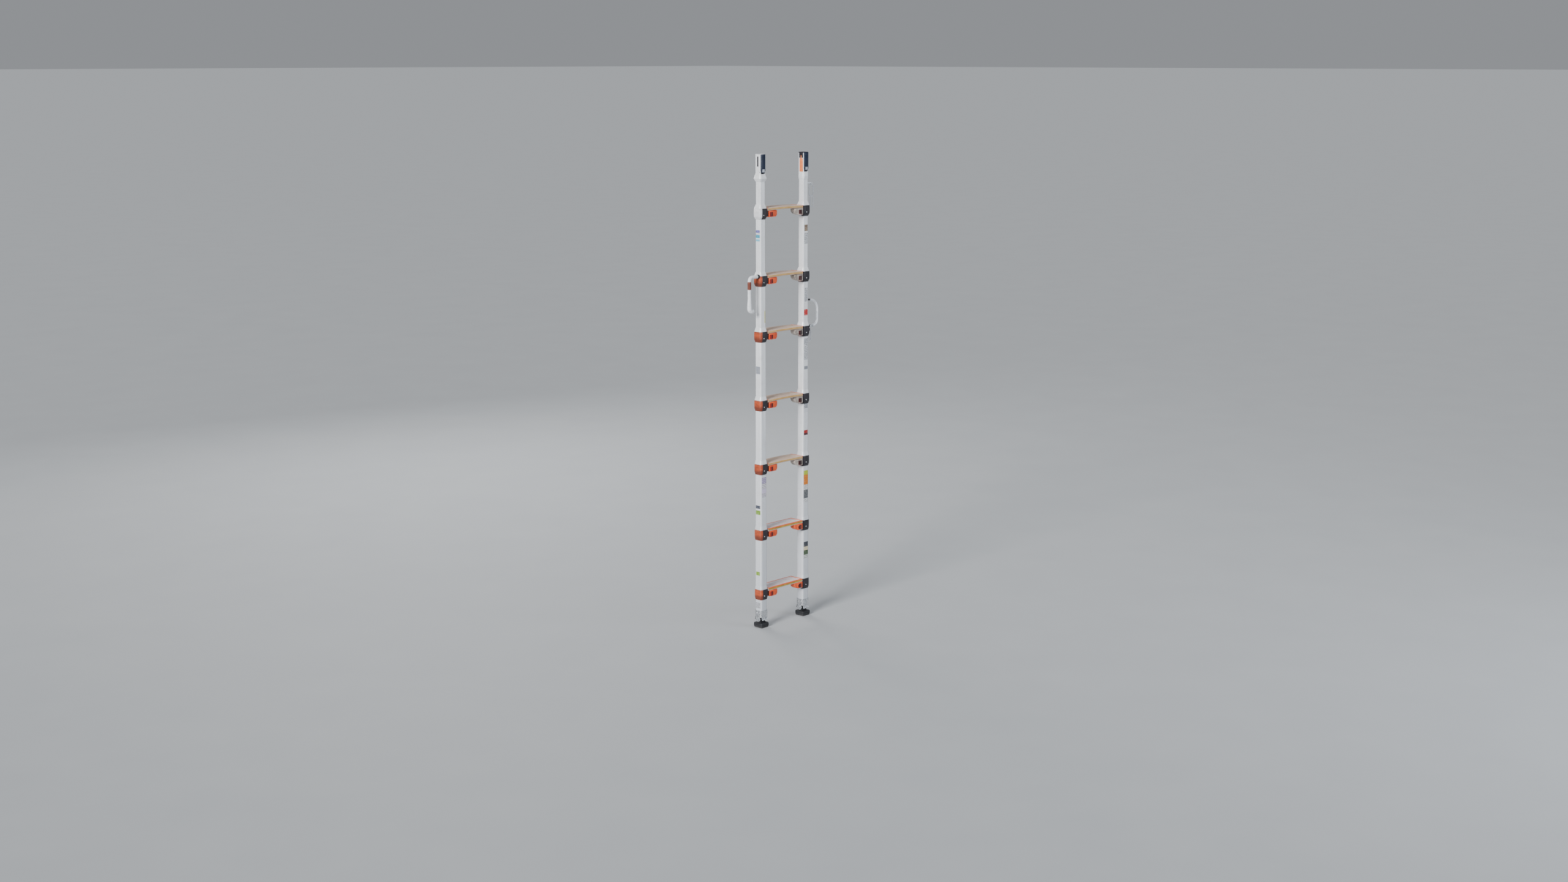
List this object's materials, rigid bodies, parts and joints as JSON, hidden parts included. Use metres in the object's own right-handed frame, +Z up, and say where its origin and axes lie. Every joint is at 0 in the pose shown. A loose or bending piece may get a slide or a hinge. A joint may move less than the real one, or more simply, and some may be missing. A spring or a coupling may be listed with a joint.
{
  "type": "telescoping multi position ladder",
  "caption": "Narrow telescoping aluminium ladder with collared rails, twin thumb latches under each step, sliding legs and top posts, side hook and swivel feet.",
  "frame": {"origin": "on the floor, midway between the two foot pads", "axes": "X along the steps to the right rail, -Y is the front, +Z up along the rails"},
  "size_m": [0.48, 0.081, 2.234],
  "materials": {
    "rail_aluminium": "brushed, clear anodised",
    "step_aluminium": "ribbed, dusty from use",
    "collar_plastic": "moulded orange band with a black front clamp",
    "latch_plastic": "moulded, slightly worn",
    "button_plastic": "moulded",
    "fitting_aluminium": "cast and brushed",
    "catch_plastic": "moulded, glossy",
    "zinc_steel": "bright zinc plate",
    "rubber_foot": "moulded tread",
    "hook_paint": "powder coated",
    "grip_plastic": "moulded sleeve",
    "handle_rod": "powder coated",
    "link_steel": "polished wire"
  },
  "bodies": {
    "base": {"base_tubes": "rail_aluminium", "step_1": "step_aluminium", "step_2": "step_aluminium", "collars_1": "collar_plastic", "collars_2": "collar_plastic", "latch_housings_1": "latch_plastic", "latch_housings_2": "latch_plastic"},
    "section_3": {"rail_tubes_3": "rail_aluminium", "step_3": "step_aluminium", "collars_3": "collar_plastic", "latch_housings_3": "latch_plastic"},
    "section_4": {"rail_tubes_4": "rail_aluminium", "step_4": "step_aluminium", "collars_4": "collar_plastic", "latch_housings_4": "latch_plastic"},
    "section_5": {"rail_tubes_5": "rail_aluminium", "step_5": "step_aluminium", "collars_5": "collar_plastic", "latch_housings_5": "latch_plastic"},
    "section_6": {"rail_tubes_6": "rail_aluminium", "step_6": "step_aluminium", "collars_6": "collar_plastic", "latch_housings_6": "latch_plastic"},
    "section_7": {"rail_tubes_7": "rail_aluminium", "step_7": "step_aluminium", "collars_7": "collar_plastic", "latch_housings_7": "latch_plastic"},
    "post_left": {"post_left": "rail_aluminium", "top_fitting_left": "fitting_aluminium"},
    "leg_left": {"leg_left": "rail_aluminium", "foot_bracket_left": "zinc_steel", "foot_pin_left": "zinc_steel"},
    "foot_left": {"foot_pad_left": "rubber_foot"},
    "catch_left": {"top_catch_left": "catch_plastic"},
    "button_left_1": {"button_left_1": "button_plastic"},
    "button_left_2": {"button_left_2": "button_plastic"},
    "button_left_3": {"button_left_3": "button_plastic"},
    "button_left_4": {"button_left_4": "button_plastic"},
    "button_left_5": {"button_left_5": "button_plastic"},
    "button_left_6": {"button_left_6": "button_plastic"},
    "button_left_7": {"button_left_7": "button_plastic"},
    "post_right": {"post_right": "rail_aluminium", "top_fitting_right": "fitting_aluminium"},
    "leg_right": {"leg_right": "rail_aluminium", "foot_bracket_right": "zinc_steel", "foot_pin_right": "zinc_steel"},
    "foot_right": {"foot_pad_right": "rubber_foot"},
    "catch_right": {"top_catch_right": "catch_plastic"},
    "button_right_1": {"button_right_1": "button_plastic"},
    "button_right_2": {"button_right_2": "button_plastic"},
    "button_right_3": {"button_right_3": "button_plastic"},
    "button_right_4": {"button_right_4": "button_plastic"},
    "button_right_5": {"button_right_5": "button_plastic"},
    "button_right_6": {"button_right_6": "button_plastic"},
    "button_right_7": {"button_right_7": "button_plastic"},
    "hook": {"side_hook": "hook_paint", "hook_grip": "grip_plastic"},
    "handle": {"carry_handle": "handle_rod"},
    "ring": {"tie_ring": "link_steel"},
    "link": {"snap_link": "link_steel"}
  },
  "joints": [
    {"name": "section_3_slide", "type": "slide", "parent": "base", "child": "section_3", "axis": [0, 0, 1], "range_m": [-0.159, 0]},
    {"name": "section_4_slide", "type": "slide", "parent": "section_3", "child": "section_4", "axis": [0, 0, 1], "range_m": [-0.224, 0]},
    {"name": "section_5_slide", "type": "slide", "parent": "section_4", "child": "section_5", "axis": [0, 0, 1], "range_m": [-0.244, 0]},
    {"name": "section_6_slide", "type": "slide", "parent": "section_5", "child": "section_6", "axis": [0, 0, 1], "range_m": [-0.18, 0]},
    {"name": "section_7_slide", "type": "slide", "parent": "section_6", "child": "section_7", "axis": [0, 0, 1], "range_m": [-0.23, 0]},
    {"name": "post_left_slide", "type": "slide", "parent": "section_7", "child": "post_left", "axis": [0, 0, 1], "range_m": [-0.07, 0]},
    {"name": "leg_left_slide", "type": "slide", "parent": "base", "child": "leg_left", "axis": [0, 0, 1], "range_m": [-0.05, 0.035]},
    {"name": "foot_left_swivel", "type": "hinge", "parent": "leg_left", "child": "foot_left", "pos_m": [-0.145, -0.0135, 0.044], "axis": [1, 0, 0], "range_deg": [-20, 20]},
    {"name": "catch_left_tilt", "type": "hinge", "parent": "post_left", "child": "catch_left", "pos_m": [-0.145, -0.0265, 2.151], "axis": [1, 0, 0], "range_deg": [0, 35]},
    {"name": "button_left_1_press", "type": "slide", "parent": "base", "child": "button_left_1", "axis": [1, 0, 0], "range_m": [0, 0.008]},
    {"name": "button_left_2_press", "type": "slide", "parent": "base", "child": "button_left_2", "axis": [1, 0, 0], "range_m": [0, 0.008]},
    {"name": "button_left_3_press", "type": "slide", "parent": "section_3", "child": "button_left_3", "axis": [1, 0, 0], "range_m": [0, 0.008]},
    {"name": "button_left_4_press", "type": "slide", "parent": "section_4", "child": "button_left_4", "axis": [1, 0, 0], "range_m": [0, 0.008]},
    {"name": "button_left_5_press", "type": "slide", "parent": "section_5", "child": "button_left_5", "axis": [1, 0, 0], "range_m": [0, 0.008]},
    {"name": "button_left_6_press", "type": "slide", "parent": "section_6", "child": "button_left_6", "axis": [1, 0, 0], "range_m": [0, 0.008]},
    {"name": "button_left_7_press", "type": "slide", "parent": "section_7", "child": "button_left_7", "axis": [1, 0, 0], "range_m": [0, 0.008]},
    {"name": "post_right_slide", "type": "slide", "parent": "section_7", "child": "post_right", "axis": [0, 0, 1], "range_m": [-0.07, 0]},
    {"name": "leg_right_slide", "type": "slide", "parent": "base", "child": "leg_right", "axis": [0, 0, 1], "range_m": [-0.05, 0.035]},
    {"name": "foot_right_swivel", "type": "hinge", "parent": "leg_right", "child": "foot_right", "pos_m": [0.145, -0.0135, 0.044], "axis": [1, 0, 0], "range_deg": [-20, 20]},
    {"name": "catch_right_tilt", "type": "hinge", "parent": "post_right", "child": "catch_right", "pos_m": [0.145, -0.0265, 2.151], "axis": [1, 0, 0], "range_deg": [0, 35]},
    {"name": "button_right_1_press", "type": "slide", "parent": "base", "child": "button_right_1", "axis": [-1, 0, 0], "range_m": [0, 0.008]},
    {"name": "button_right_2_press", "type": "slide", "parent": "base", "child": "button_right_2", "axis": [-1, 0, 0], "range_m": [0, 0.008]},
    {"name": "button_right_3_press", "type": "slide", "parent": "section_3", "child": "button_right_3", "axis": [-1, 0, 0], "range_m": [0, 0.008]},
    {"name": "button_right_4_press", "type": "slide", "parent": "section_4", "child": "button_right_4", "axis": [-1, 0, 0], "range_m": [0, 0.008]},
    {"name": "button_right_5_press", "type": "slide", "parent": "section_5", "child": "button_right_5", "axis": [-1, 0, 0], "range_m": [0, 0.008]},
    {"name": "button_right_6_press", "type": "slide", "parent": "section_6", "child": "button_right_6", "axis": [-1, 0, 0], "range_m": [0, 0.008]},
    {"name": "button_right_7_press", "type": "slide", "parent": "section_7", "child": "button_right_7", "axis": [-1, 0, 0], "range_m": [0, 0.008]},
    {"name": "hook_swing", "type": "hinge", "parent": "section_6", "child": "hook", "pos_m": [-0.17, -0.0235, 1.676], "axis": [1, 0, 0], "range_deg": [-100, 100]},
    {"name": "handle_swing", "type": "hinge", "parent": "section_5", "child": "handle", "pos_m": [0.182, -0.0225, 1.414], "axis": [0, 1, 0], "range_deg": [0, 80]},
    {"name": "ring_swing", "type": "hinge", "parent": "section_5", "child": "ring", "pos_m": [0.197, -0.0045, 1.392], "axis": [1, 0, 0], "range_deg": [-3, 60]},
    {"name": "link_swing", "type": "hinge", "parent": "post_right", "child": "link", "pos_m": [0.211, -0.0025, 2.081], "axis": [1, 0, 0], "range_deg": [-3, 60]}
  ]
}
